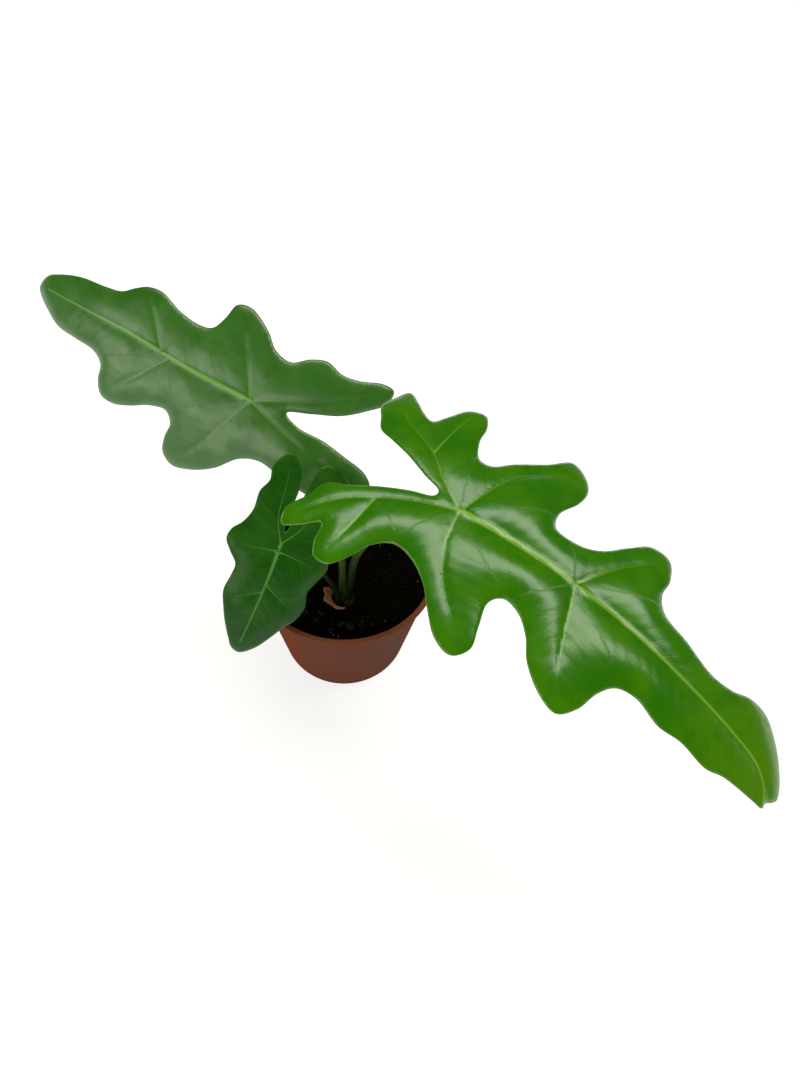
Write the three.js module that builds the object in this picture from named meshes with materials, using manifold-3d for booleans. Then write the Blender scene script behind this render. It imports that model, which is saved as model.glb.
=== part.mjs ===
// A young potted aroid with three deeply lobed, arrow-shaped leaves, in a round nursery pot.
// Millimetres, +Z up. The origin is the middle of the pot's underside.
import * as THREE from 'three';
import { mergeVertices } from 'three/addons/utils/BufferGeometryUtils.js';
import Module from 'manifold-3d';

const wasm = await Module();
wasm.setup();

// Gap left between two pieces that touch.
const GAP = 0.4;

// Corners of a mesh closer together than this are one corner.
const MERGE_DISTANCE = 1e-4;

// Steps of the seeded random numbers.
const RANDOM = { factor: 16807, modulus: 2147483647 };

// Thin-walled nursery pot.
const POT = {
  height: 92,
  rimRadius: 60,
  baseRadius: 44,
  wall: 1.6,
  lipWidth: 2.6,
  lipDepth: 3.4,
  footWidth: 3.5,
  channelRise: 2.5,
  channelSlope: 2,
  centreRadius: 17,
  rounding: 0.7,
  drainHoles: 8,
  drainRadius: 4,
  drainRing: 29,
  drainSides: 12,
  sides: 48,
};

// Potting mix, a little below the rim, with a plain hole for the stem. Its surface has round lumps
// between the narrowest and the widest radius, and hollows for the lower share of the random numbers.
const MIX = {
  level: 81.5,
  shoulder: 4,
  corner: 1.5,
  rings: 11,
  lump: 2.2,
  hollowShare: 0.4,
  narrowest: 3.5,
  widest: 8.5,
  lumps: 70,
  seed: 7,
};

// Short stem that the leaf stalks grow from, and the dry sheath leaf round its front.
const STEM = {
  centre: [2.6, -22],
  radius: 7.4,
  bottom: 58,
  top: 84,
  sides: 20,
  // Share of the radius and rise over the bottom, from the foot to the shoulder.
  outline: [[0.55, 1], [0.9, 5], [1, 11], [0.96, 23.5], [0.8, 25.3]],
};
const SHEATH = {
  wall: 1,
  bottom: 68,
  top: 89.5,
  flare: 5,
  flareFrom: 83.5,
  from: 162,
  to: 282,
  tear: 1.2,
  tearWaves: 17,
  cornerDrop: 3,
  steps: 14,
  rows: [0, 0.4, 0.7, 0.85, 1],
};

// The stalks stand in the stem and meet their blades square over the length of the neck.
const STALK = { foot: 66, neck: 7, steps: 24, sides: 10 };

// Each blade is drawn flat first. u runs ahead from the stalk to the tip and v to the left, in mm.
// heading, pitch and roll then turn it, and the droops bend it: mm of fall at 100 mm from the stalk.
// The crown is how steeply the skin swells up between the veins and the margin.
const BLADE_THICKNESS = 1;
const DROP_SPAN = 100;
const BACK_BLEND = 20;
const RIB_REACH = 2;
const HUGE_TRIANGLE = 5000;

// Steps along the margin, and the room kept round each inner point, as shares of the blade's spacing.
const MARGIN_SHARE = 0.6;
const ROOM = { margin: 0.5, vein: 0.6, grid: 0.72 };

const FRONT_LEAF = {
  name: 'front_leaf',
  junction: [58, -48, 210],
  heading: -32,
  pitch: -5,
  roll: 2,
  droop: { ahead: 10, tip: 9, tipFrom: 90, across: 20, backLeft: 22, backRight: 25 },
  crown: 0.036,
  rib: 1.1,
  spacing: 6.8,
  margin: [
    // back left lobe and its side lobe
    [-10, 33], [-17, 44.5], [-20, 57], [-26.5, 66.5], [-34.5, 63.5], [-39.5, 50.5], [-43.5, 41.5],
    [-50.5, 44.5], [-58.5, 51], [-68.5, 57.5], [-71.5, 48], [-72.5, 37.5], [-66.5, 29], [-59.5, 20],
    [-50, 16.5], [-38, 12.5], [-23.5, 6.5],
    // notch behind the stalk
    [-13.5, 3], [-13.5, -0.5],
    // back right lobe and its side lobe
    [-23.5, -5], [-35.5, -11], [-49, -18.5], [-58.5, -23], [-60.5, -32.5], [-65, -42.5], [-60, -51],
    [-52.5, -47], [-45, -41.5], [-41.5, -50], [-36.5, -56], [-29.5, -56], [-24, -48.5], [-19.5, -38],
    [-12, -32], [-2, -33],
    // first and second right lobes
    [8.5, -38.5], [16.5, -46], [26.5, -54], [35.5, -55.5], [40.5, -48.5], [38, -39.5], [35, -28],
    [39, -22.5], [47, -23.5], [55, -29.5], [61.5, -38], [72.5, -45], [81.5, -46.5], [87.5, -39.5],
    [91, -28.5], [96, -21.5], [105, -19],
    // long front lobe
    [117.5, -21.5], [129, -19.5], [142.5, -20], [151.5, -16.5], [162, -14.5], [168.5, -13.5], [173, -12.5],
    [173.5, -9.5], [175.5, -7.5], [178, -4], [177.5, 0.5], [174.5, 7], [168, 16], [158.5, 23.5], [149, 23.5],
    [139, 18.5], [127.5, 16.5], [111.5, 20.5], [98, 24],
    // second and first left lobes
    [93, 31.5], [93, 42.5], [88, 54], [78.5, 53.5], [69.5, 42.5], [61, 30.5], [52, 24.5], [38.5, 24],
    [35.5, 32.5], [39.5, 46.5], [39.5, 57.5], [33.5, 67], [24.5, 71], [15.5, 57.5], [3.5, 43],
    [-3.5, 33.5],
  ],
  veins: [
    [[0, 0], [28, 2.5], [56, 4.5], [90.5, 4.5], [122, 3], [145, 2], [162, 0], [169, -5], [172.5, -11]],
    [[0, 0], [-16, 10], [-29, 21], [-51, 32.5], [-62, 41]],
    [[-29, 21], [-30.5, 41], [-30.5, 60.5]],
    [[0, 0], [-19.5, -9.5], [-41, -22.5], [-53, -34.5], [-59.5, -44.5]],
    [[-33.5, -18.5], [-33, -35], [-34, -50]],
    [[0, 0], [8.5, 34.5], [18.5, 49], [30.5, 59]],
    [[0, 0], [6, -21], [15, -33], [30.5, -47]],
    [[59, 5], [71.5, 28.5], [84, 46]],
    [[59, 5], [67.5, -18.5], [75.5, -39]],
  ],
  stalk: {
    foot: [5.6, -22.6],
    bends: [[6.5, -21.5, 102], [9, -20, 124], [18, -24, 150], [34, -34, 176], [49, -43, 193]],
    footRadius: 2.6,
    topRadius: 2.1,
  },
  colour: 0x2f8010,
};

const BACK_LEAF = {
  name: 'back_leaf',
  junction: [-59, 39, 182],
  heading: 163,
  pitch: 11,
  roll: -49,
  droop: { ahead: 11, tip: 10, tipFrom: 90, across: 19, backLeft: 10, backRight: 30 },
  crown: 0.013,
  rib: 1,
  spacing: 6.8,
  margin: [
    // long front lobe, right edge
    [160.5, 0], [157, -8], [146.5, -13], [128.5, -18], [108.5, -20], [97.5, -22],
    // second and first right lobes
    [90, -27], [82.5, -31], [73, -32], [58.5, -27], [44.5, -25], [36.5, -27], [32, -35], [29, -44],
    [21, -46], [7, -39], [-2, -31], [-12, -29],
    // back right lobe
    [-21, -35], [-30, -38], [-40, -35], [-50, -36], [-62, -40], [-69, -39], [-69, -31], [-60, -22],
    [-49, -14], [-34, -8],
    // notch behind the stalk
    [-21, -2.5], [-30, 2],
    // back left lobe
    [-46, 3], [-60, 6], [-75, 10], [-81, 16], [-79, 25], [-70, 33], [-58, 36], [-42, 35], [-28, 32],
    [-17, 30],
    // first and second left lobes
    [-5.5, 34], [6.5, 46], [20, 54], [32.5, 57], [40, 52], [41.5, 42], [40.5, 34], [45.5, 28], [56.5, 30],
    [68.5, 36], [80, 40], [89.5, 39], [94, 32], [95.5, 22],
    // long front lobe, left edge
    [102.5, 17], [118.5, 16], [134.5, 15], [148.5, 9], [157, 4],
  ],
  veins: [
    [[0, 0], [47, -1], [76, -3], [110, -3], [150, -2]],
    [[0, 0], [-20, -9], [-35, -16], [-63, -34]],
    [[0, 0], [-20, 7], [-36, 12], [-74, 18]],
    [[0, 0], [15, -27], [26, -42]],
    [[0, 0], [19, 36], [32, 54]],
    [[59, -2], [69, -15], [80, -28]],
    [[53, -1], [70, 18], [89, 37]],
  ],
  stalk: {
    foot: [0.8, -18.9],
    bends: [[0.3, -16, 104], [-3, -2, 126], [-14, 20, 146], [-34, 38, 162]],
    footRadius: 2.4,
    topRadius: 1.9,
  },
  colour: 0x3c6e2d,
};

const SMALL_LEAF = {
  name: 'small_leaf',
  junction: [-31, -31, 145],
  heading: -109,
  pitch: -40,
  roll: -30,
  droop: { ahead: 30, tip: 0, tipFrom: 90, across: 20, backLeft: 5, backRight: 5 },
  crown: 0.024,
  rib: 0.8,
  spacing: 5,
  margin: [
    // front lobe, right edge
    [69, 1], [67, -4], [61, -8], [52, -13], [43, -17], [34, -20], [24, -19], [18, -19], [12, -24],
    [6, -28], [0, -27],
    // back right lobe
    [-5, -23], [-13, -20], [-24, -20], [-31, -17], [-38, -18], [-45, -15], [-49, -11], [-46, -6],
    [-40, -1.5], [-28, -0.5], [-16, -1.5],
    // narrow slit behind the stalk
    [-7, 0], [-16, 2.5],
    // back left lobe
    [-28, 3], [-40, 4.5], [-47, 7], [-50, 13], [-47, 20], [-40, 27], [-28, 30], [-14, 28], [-2, 27],
    // front lobe, left edge
    [6, 30], [14, 27], [22, 24], [31, 26], [39, 24], [46, 19], [55, 14], [64, 8],
  ],
  veins: [
    [[0, 0], [30, 0], [62, -1]],
    [[0, 0], [-13, -6], [-32, -8], [-44, -10]],
    [[0, 0], [-12, 8], [-30, 11], [-46, 13]],
    [[4, 0], [7, -21]],
    [[4, 0], [7, 22]],
    [[29, 0], [37, -16]],
    [[24, 0], [36, 20]],
  ],
  stalk: {
    foot: [0.2, -25],
    bends: [[-3, -24.3, 95], [-8, -23.5, 105], [-18, -22.3, 124]],
    footRadius: 1.7,
    topRadius: 1.3,
  },
  colour: 0x205a24,
};

const LEAVES = [FRONT_LEAF, BACK_LEAF, SMALL_LEAF];

const FINISH = {
  pot: { color: 0x6d3a2e, roughness: 0.45 },
  mix: { color: 0x17120c, roughness: 1 },
  stem: { color: 0x6f7f46, roughness: 0.6 },
  sheath: { color: 0x7a4a30, roughness: 0.8 },
  stalk: { color: 0x7c9a55, roughness: 0.5 },
};

const group = new THREE.Group();

function addPiece(name, geometry, finish) {
  const material = new THREE.MeshStandardMaterial({ metalness: 0, ...finish });
  const mesh = new THREE.Mesh(geometry, material);
  mesh.name = name;
  group.add(mesh);
  return mesh;
}

// Seeded random numbers from 0 to 1, the same on every run.
function randomSource(seed) {
  let state = seed;
  return () => {
    state = (state * RANDOM.factor) % RANDOM.modulus;
    return state / RANDOM.modulus;
  };
}

// Closed meshes to solids and back, for cutting holes.
function toSolid(geometry) {
  const bare = geometry.clone();
  bare.deleteAttribute('normal');
  bare.deleteAttribute('uv');
  const merged = mergeVertices(bare, MERGE_DISTANCE);
  return new wasm.Manifold(new wasm.Mesh({
    numProp: 3,
    vertProperties: new Float32Array(merged.attributes.position.array),
    triVerts: new Uint32Array(merged.index.array),
  }));
}

function toGeometry(solid) {
  const mesh = solid.getMesh();
  const geometry = new THREE.BufferGeometry();
  geometry.setAttribute('position', new THREE.BufferAttribute(mesh.vertProperties, 3));
  geometry.setIndex(new THREE.BufferAttribute(mesh.triVerts, 1));
  return geometry;
}

function meshOf(vertices, faces) {
  const geometry = new THREE.BufferGeometry();
  geometry.setAttribute('position', new THREE.Float32BufferAttribute(vertices.flat(), 3));
  geometry.setIndex(faces.flat());
  return geometry;
}

// Turned body from a profile of [radius, height] points, standing on +Z.
function turned(profile, sides) {
  const points = profile.map(([radius, height]) => new THREE.Vector2(radius, height));
  return new THREE.LatheGeometry(points, sides).rotateX(Math.PI / 2);
}

// Upright cylinder from one height to another.
function post(x, y, radius, bottom, top, sides) {
  const geometry = new THREE.CylinderGeometry(radius, radius, top - bottom, sides);
  return geometry.rotateX(Math.PI / 2).translate(x, y, (top + bottom) / 2);
}

// Radius of the pot's outer wall at a height.
function wallRadius(height) {
  const topRadius = POT.rimRadius - POT.lipWidth;
  return POT.baseRadius + (topRadius - POT.baseRadius) * height / POT.height;
}

function pot() {
  const { height, rimRadius, baseRadius, centreRadius, wall, rounding } = POT;
  const foot = baseRadius - POT.footWidth;
  const floor = POT.channelRise + wall;
  const lipFoot = height - POT.lipDepth;
  const innerRadius = (level) => wallRadius(level) - wall;
  const profile = [
    [0, 0],
    [centreRadius, 0],
    [centreRadius + POT.channelSlope, POT.channelRise],
    [foot - POT.channelSlope, POT.channelRise],
    [foot, 0],
    [baseRadius - rounding, 0],
    [wallRadius(rounding), rounding],
    [wallRadius(lipFoot), lipFoot],
    [rimRadius - rounding, lipFoot],
    [rimRadius, lipFoot + rounding],
    [rimRadius, height - rounding],
    [rimRadius - rounding, height],
    [innerRadius(height) + 2 * rounding, height],
    [innerRadius(height), height - 2 * rounding],
    [innerRadius(floor), floor + rounding],
    [innerRadius(floor) - rounding, floor],
    [centreRadius + POT.channelSlope - rounding, floor],
    [centreRadius - rounding, wall],
    [0, wall],
  ];
  let body = toSolid(turned(profile, POT.sides));
  for (let i = 0; i < POT.drainHoles; i += 1) {
    const angle = (i + 0.5) * 2 * Math.PI / POT.drainHoles;
    const x = POT.drainRing * Math.cos(angle);
    const y = POT.drainRing * Math.sin(angle);
    body = body.subtract(toSolid(post(x, y, POT.drainRadius, -wall, floor + wall, POT.drainSides)));
  }
  return toGeometry(body);
}

// Lumps and hollows of the mix's surface, as seeded bumps that fade towards the wall.
function mixRelief() {
  const random = randomSource(MIX.seed);
  const reach = wallRadius(MIX.level);
  const bumps = [];
  for (let i = 0; i < MIX.lumps; i += 1) {
    const distance = reach * Math.sqrt(random());
    const angle = 2 * Math.PI * random();
    bumps.push({
      x: distance * Math.cos(angle),
      y: distance * Math.sin(angle),
      height: MIX.lump * (random() - MIX.hollowShare),
      width: MIX.narrowest + (MIX.widest - MIX.narrowest) * random(),
    });
  }
  return (x, y) => bumps.reduce((sum, bump) => {
    const away = Math.hypot(x - bump.x, y - bump.y) / bump.width;
    return sum + bump.height * Math.exp(-away * away);
  }, 0);
}

function pottingMix() {
  const relief = mixRelief();
  const floor = POT.channelRise + POT.wall + GAP;
  const wallInside = (height) => wallRadius(height) - POT.wall - GAP;
  const shoulder = MIX.level - MIX.shoulder;
  const reach = wallInside(shoulder);
  const vertices = [[0, 0, floor]];
  const faces = [];
  const addRing = (radius, heightAt) => {
    for (let i = 0; i < POT.sides; i += 1) {
      const angle = i * 2 * Math.PI / POT.sides;
      const x = radius * Math.cos(angle);
      const y = radius * Math.sin(angle);
      vertices.push([x, y, heightAt(x, y)]);
    }
  };
  addRing(wallInside(floor) - MIX.corner, () => floor);
  addRing(wallInside(floor + MIX.corner), () => floor + MIX.corner);
  addRing(reach, () => shoulder);
  const topHeight = (x, y) => MIX.level + relief(x, y);
  for (let ring = MIX.rings; ring > 0; ring -= 1) {
    addRing(reach * ring / MIX.rings, topHeight);
  }
  vertices.push([0, 0, topHeight(0, 0)]);
  const rings = MIX.rings + 3;
  for (let i = 0; i < POT.sides; i += 1) {
    const next = (i + 1) % POT.sides;
    faces.push([0, 1 + next, 1 + i]);
    for (let ring = 0; ring < rings - 1; ring += 1) {
      const low = 1 + ring * POT.sides;
      const high = low + POT.sides;
      faces.push([low + i, low + next, high + i], [low + next, high + next, high + i]);
    }
    const last = 1 + (rings - 1) * POT.sides;
    faces.push([last + i, last + next, vertices.length - 1]);
  }
  const [x, y] = STEM.centre;
  const hole = STEM.radius + SHEATH.wall + 2 * GAP;
  const cutter = post(x, y, hole, STEM.bottom - GAP, POT.height, STEM.sides);
  return toGeometry(toSolid(meshOf(vertices, faces)).subtract(toSolid(cutter)));
}

// Round tube that follows a curve, closed at both ends, its radius given along the way from 0 to 1.
function tube(curve, radiusAt, steps, sides) {
  const frames = curve.computeFrenetFrames(steps, false);
  const vertices = [];
  const faces = [];
  for (let step = 0; step <= steps; step += 1) {
    const centre = curve.getPointAt(step / steps);
    for (let side = 0; side < sides; side += 1) {
      const angle = side * 2 * Math.PI / sides;
      const spot = centre.clone()
        .addScaledVector(frames.normals[step], radiusAt(step / steps) * Math.cos(angle))
        .addScaledVector(frames.binormals[step], radiusAt(step / steps) * Math.sin(angle));
      vertices.push(spot.toArray());
    }
  }
  const start = vertices.length;
  vertices.push(curve.getPointAt(0).toArray(), curve.getPointAt(1).toArray());
  for (let side = 0; side < sides; side += 1) {
    const next = (side + 1) % sides;
    faces.push([start, next, side]);
    for (let step = 0; step < steps; step += 1) {
      const low = step * sides;
      const high = low + sides;
      faces.push([low + side, low + next, high + next], [low + side, high + next, high + side]);
    }
    faces.push([start + 1, steps * sides + side, steps * sides + next]);
  }
  return meshOf(vertices, faces);
}

// Where a flat blade lies in space: its junction, its ahead, left and up directions.
function bladeAxes(leaf) {
  const [heading, pitch, roll] = [leaf.heading, leaf.pitch, leaf.roll].map(THREE.MathUtils.degToRad);
  const ahead = new THREE.Vector3(
    Math.cos(pitch) * Math.cos(heading),
    Math.cos(pitch) * Math.sin(heading),
    Math.sin(pitch),
  );
  const level = new THREE.Vector3(-Math.sin(heading), Math.cos(heading), 0);
  const left = level.applyAxisAngle(ahead, roll);
  const up = new THREE.Vector3().crossVectors(ahead, left);
  return { origin: new THREE.Vector3(...leaf.junction), ahead, left, up };
}

// Curve of a leaf stalk, from the stem up to just under the blade, where it meets it square.
function stalkCurve(leaf) {
  const { origin, up } = bladeAxes(leaf);
  const { foot, bends } = leaf.stalk;
  const underside = BLADE_THICKNESS / 2 + leaf.rib + GAP;
  const points = [
    new THREE.Vector3(foot[0], foot[1], STALK.foot),
    new THREE.Vector3(foot[0], foot[1], STEM.top),
    ...bends.map((bend) => new THREE.Vector3(...bend)),
    origin.clone().addScaledVector(up, -underside - STALK.neck),
    origin.clone().addScaledVector(up, -underside),
  ];
  return new THREE.CatmullRomCurve3(points, false, 'centripetal');
}

function stalk(leaf, extra = 0) {
  const { footRadius, topRadius } = leaf.stalk;
  const radiusAt = (along) => footRadius + (topRadius - footRadius) * Math.sqrt(along) + extra;
  return tube(stalkCurve(leaf), radiusAt, STALK.steps, STALK.sides);
}

// Short stem with a socket for each stalk.
function stem() {
  const { radius, bottom, top, sides } = STEM;
  const [x, y] = STEM.centre;
  const flank = STEM.outline.map(([share, rise]) => [radius * share, bottom + rise]);
  const profile = [[0, bottom], ...flank, [0, top]];
  let body = toSolid(turned(profile, sides).translate(x, y, 0));
  for (const leaf of LEAVES) {
    body = body.subtract(toSolid(stalk(leaf, GAP)));
  }
  return toGeometry(body);
}

// Papery sheath: a strip of shell round the stem that flares outwards to a torn top edge.
function sheath() {
  const [x, y] = STEM.centre;
  const inner = STEM.radius + GAP;
  const vertices = [];
  const faces = [];
  for (let step = 0; step <= SHEATH.steps; step += 1) {
    const part = step / SHEATH.steps;
    const angle = THREE.MathUtils.degToRad(SHEATH.from + (SHEATH.to - SHEATH.from) * part);
    const dropped = SHEATH.cornerDrop * (1 - Math.sin(part * Math.PI)) ** 2;
    const torn = SHEATH.tear * Math.sin(part * SHEATH.tearWaves) - dropped;
    for (const row of SHEATH.rows) {
      const height = SHEATH.bottom + (SHEATH.top + torn - SHEATH.bottom) * row;
      const lift = Math.max(0, height - SHEATH.flareFrom) / (SHEATH.top - SHEATH.flareFrom);
      const lean = SHEATH.flare * lift;
      for (const radius of [inner + lean, inner + lean + SHEATH.wall]) {
        vertices.push([x + radius * Math.cos(angle), y + radius * Math.sin(angle), height]);
      }
    }
  }
  const column = SHEATH.rows.length * 2;
  const last = column - 2;
  for (let step = 0; step < SHEATH.steps; step += 1) {
    const here = step * column;
    const there = here + column;
    for (let row = 0; row < last; row += 2) {
      const [a, b, c, d] = [here + row, there + row, there + row + 2, here + row + 2];
      faces.push([a, d, c], [a, c, b], [a + 1, b + 1, c + 1], [a + 1, c + 1, d + 1]);
    }
    faces.push([here, there, there + 1], [here, there + 1, here + 1]);
    faces.push([here + last, here + last + 1, there + last + 1]);
    faces.push([here + last, there + last + 1, there + last]);
  }
  for (let row = 0; row < last; row += 2) {
    const end = SHEATH.steps * column;
    faces.push([row, row + 1, row + 3], [row, row + 3, row + 2]);
    faces.push([end + row, end + row + 3, end + row + 1], [end + row, end + row + 2, end + row + 3]);
  }
  return meshOf(vertices, faces);
}

function distanceToLine(u, v, line) {
  let nearest = Infinity;
  for (let i = 1; i < line.length; i += 1) {
    const [u0, v0] = line[i - 1];
    const [du, dv] = [line[i][0] - u0, line[i][1] - v0];
    const along = ((u - u0) * du + (v - v0) * dv) / (du * du + dv * dv);
    const clamped = THREE.MathUtils.clamp(along, 0, 1);
    nearest = Math.min(nearest, Math.hypot(u - u0 - clamped * du, v - v0 - clamped * dv));
  }
  return nearest;
}

// Height of the bent blade over its own flat plane.
function droopAt(leaf, u, v) {
  const { ahead, tip, tipFrom, across, backLeft, backRight } = leaf.droop;
  const leftShare = THREE.MathUtils.smoothstep(v, -BACK_BLEND, BACK_BLEND);
  const back = backRight + (backLeft - backRight) * leftShare;
  const fall = ahead * Math.max(u, 0) ** 2 + tip * Math.max(u - tipFrom, 0) ** 2
    + back * Math.min(u, 0) ** 2 + across * v ** 2;
  return -fall / DROP_SPAN ** 2;
}

// Round margin through the outline points, as evenly spaced flat points.
function marginPoints(leaf, spacing) {
  const corners = leaf.margin.map(([u, v]) => new THREE.Vector3(u, v, 0));
  const curve = new THREE.CatmullRomCurve3(corners, true, 'centripetal');
  const count = Math.round(curve.getLength() / spacing);
  return curve.getSpacedPoints(count).slice(0, count).map((point) => [point.x, point.y]);
}

function inside(outline, u, v) {
  let within = false;
  outline.forEach(([u1, v1], i) => {
    const [u0, v0] = outline[(i + outline.length - 1) % outline.length];
    if ((v0 > v) !== (v1 > v) && u < u0 + (u1 - u0) * (v - v0) / (v1 - v0)) {
      within = !within;
    }
  });
  return within;
}

// Points inside the outline: first along the veins, then an even triangular grid between them.
function innerPoints(leaf, outline, spacing) {
  const loop = [...outline, outline[0]];
  const points = [];
  const addIfClear = (u, v, room) => {
    const clear = points.every((point) => Math.hypot(point[0] - u, point[1] - v) > room);
    if (clear && inside(outline, u, v) && distanceToLine(u, v, loop) > ROOM.margin * spacing) {
      points.push([u, v]);
    }
  };
  for (const vein of leaf.veins) {
    const path = new THREE.CurvePath();
    for (let i = 1; i < vein.length; i += 1) {
      path.add(new THREE.LineCurve(new THREE.Vector2(...vein[i - 1]), new THREE.Vector2(...vein[i])));
    }
    const count = Math.round(path.getLength() / spacing);
    for (const point of path.getSpacedPoints(count)) {
      addIfClear(point.x, point.y, ROOM.vein * spacing);
    }
  }
  const rowHeight = spacing * Math.sqrt(3) / 2;
  const farthest = Math.max(...outline.flat().map(Math.abs));
  const rows = Math.ceil(farthest / rowHeight);
  for (let row = -rows; row <= rows; row += 1) {
    for (let column = -rows; column <= rows; column += 1) {
      addIfClear(row * rowHeight, (column + (row % 2) / 2) * spacing, ROOM.grid * spacing);
    }
  }
  return points;
}

function circled(points, a, b, c) {
  const [[ax, ay], [bx, by], [cx, cy]] = [points[a], points[b], points[c]];
  const area = 2 * (ax * (by - cy) + bx * (cy - ay) + cx * (ay - by));
  const [a2, b2, c2] = [ax * ax + ay * ay, bx * bx + by * by, cx * cx + cy * cy];
  const x = (a2 * (by - cy) + b2 * (cy - ay) + c2 * (ay - by)) / area;
  const y = (a2 * (cx - bx) + b2 * (ax - cx) + c2 * (bx - ax)) / area;
  return { corners: [a, b, c], x, y, radius: Math.hypot(ax - x, ay - y) };
}

// Delaunay triangles of flat points, adding one point at a time inside one huge triangle.
function triangulate(points) {
  const far = HUGE_TRIANGLE;
  const first = points.length;
  const all = [...points, [-far, -far], [far, -far], [0, far]];
  let triangles = [circled(all, first, first + 1, first + 2)];
  points.forEach(([x, y], index) => {
    const rim = new Map();
    triangles = triangles.filter((triangle) => {
      if (Math.hypot(x - triangle.x, y - triangle.y) > triangle.radius) {
        return true;
      }
      const [a, b, c] = triangle.corners;
      for (const [from, to] of [[a, b], [b, c], [c, a]]) {
        if (!rim.delete(`${to} ${from}`)) {
          rim.set(`${from} ${to}`, [from, to]);
        }
      }
      return false;
    });
    for (const [from, to] of rim.values()) {
      triangles.push(circled(all, from, to, index));
    }
  });
  return triangles.map((triangle) => triangle.corners).filter((corners) => Math.max(...corners) < first);
}

// Thin bent blade: it swells between its veins and the margin, and has ribs underneath.
function blade(leaf) {
  const { origin, ahead, left, up } = bladeAxes(leaf);
  const outline = marginPoints(leaf, leaf.spacing * MARGIN_SHARE);
  const flat = [...outline, ...innerPoints(leaf, outline, leaf.spacing)];
  const loop = [...outline, outline[0]];
  const place = ([u, v], over) => origin.clone()
    .addScaledVector(ahead, u)
    .addScaledVector(left, v)
    .addScaledVector(up, over)
    .toArray();
  const top = [];
  const bottom = [];
  for (const [u, v] of flat) {
    const vein = Math.min(...leaf.veins.map((line) => distanceToLine(u, v, line)));
    const margin = distanceToLine(u, v, loop);
    const middle = droopAt(leaf, u, v) + leaf.crown * vein * margin / 2;
    const rib = leaf.rib * Math.exp(-((vein / RIB_REACH) ** 2)) * Math.min(1, margin / leaf.spacing);
    top.push(place([u, v], middle + BLADE_THICKNESS / 2));
    bottom.push(place([u, v], middle - BLADE_THICKNESS / 2 - rib));
  }
  const count = flat.length;
  const faces = [];
  for (const [a, b, c] of triangulate(flat)) {
    const u = (flat[a][0] + flat[b][0] + flat[c][0]) / 3;
    const v = (flat[a][1] + flat[b][1] + flat[c][1]) / 3;
    if (inside(outline, u, v)) {
      faces.push([a, b, c], [count + a, count + c, count + b]);
    }
  }
  const turn = Math.sign(THREE.ShapeUtils.area(outline.map(([x, y]) => new THREE.Vector2(x, y))));
  outline.forEach((_, i) => {
    const next = (i + 1) % outline.length;
    const [from, to] = turn > 0 ? [i, next] : [next, i];
    faces.push([from, count + from, count + to], [from, count + to, to]);
  });
  return meshOf([...top, ...bottom], faces);
}

addPiece('pot', pot(), FINISH.pot);
addPiece('potting_mix', pottingMix(), FINISH.mix);
addPiece('stem', stem(), FINISH.stem);
addPiece('sheath', sheath(), FINISH.sheath);
for (const leaf of LEAVES) {
  addPiece(`${leaf.name}_stalk`, stalk(leaf), FINISH.stalk);
  addPiece(`${leaf.name}_blade`, blade(leaf), { color: leaf.colour, roughness: 0.35 });
}

export default group;
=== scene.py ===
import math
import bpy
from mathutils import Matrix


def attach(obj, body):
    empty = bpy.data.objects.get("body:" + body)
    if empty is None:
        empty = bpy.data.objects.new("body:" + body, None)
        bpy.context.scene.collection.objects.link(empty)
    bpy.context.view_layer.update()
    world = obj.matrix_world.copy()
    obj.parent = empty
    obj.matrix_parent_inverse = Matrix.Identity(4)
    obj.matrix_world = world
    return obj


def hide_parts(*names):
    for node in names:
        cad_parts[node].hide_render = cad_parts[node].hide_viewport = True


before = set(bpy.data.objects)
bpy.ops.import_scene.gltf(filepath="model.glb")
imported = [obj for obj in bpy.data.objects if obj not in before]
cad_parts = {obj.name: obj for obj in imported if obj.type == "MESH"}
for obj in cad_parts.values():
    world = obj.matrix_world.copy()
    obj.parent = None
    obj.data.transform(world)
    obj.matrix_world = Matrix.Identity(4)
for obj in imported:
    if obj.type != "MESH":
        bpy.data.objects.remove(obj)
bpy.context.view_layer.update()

# Looks of a young potted aroid: three deeply lobed leaves on slim stalks, in a round nursery pot.
# The frame is in metres. Sizes below are in millimetres and angles in degrees, unless a comment says
# otherwise. Colours are linear red, green and blue.
from types import SimpleNamespace as Values

import bmesh
import bpy
import numpy as np
from mathutils import Matrix, Vector, noise
from mathutils.geometry import delaunay_2d_cdt

MM = 0.001
FULL_TURN = 2 * math.pi

# Where the camera stands, how far it looks down and leans, and its lens and sensor.
CAMERA = Values(spot=(32.8, -232.1, 429.1), down=52.48, lean=6.4, lens=21.63, sensor=36)

# Two soft boxes far from the plant, and the even light of the room. A box stands where its heading and
# height point, turned about that line, and spans twice its half angles.
LIGHT_DISTANCE = 6000
LIGHT_COLOUR = (1, 0.99, 0.86)
PLANT_CENTRE = (60, -40, 200)
KEY_LIGHT = Values(heading=58.5, height=68, turn=17.5, half_angles=(36.6, 10.5), glow=5.8)
FRONT_LIGHT = Values(heading=-129, height=21, turn=-6, half_angles=(39, 9), glow=2.8)
ROOM_LIGHT = 0.02
FLOOR = Values(size=12000, glow=0.8, tones=((0.44, 0.44, 0.44), (0.47, 0.47, 0.47)))

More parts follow.
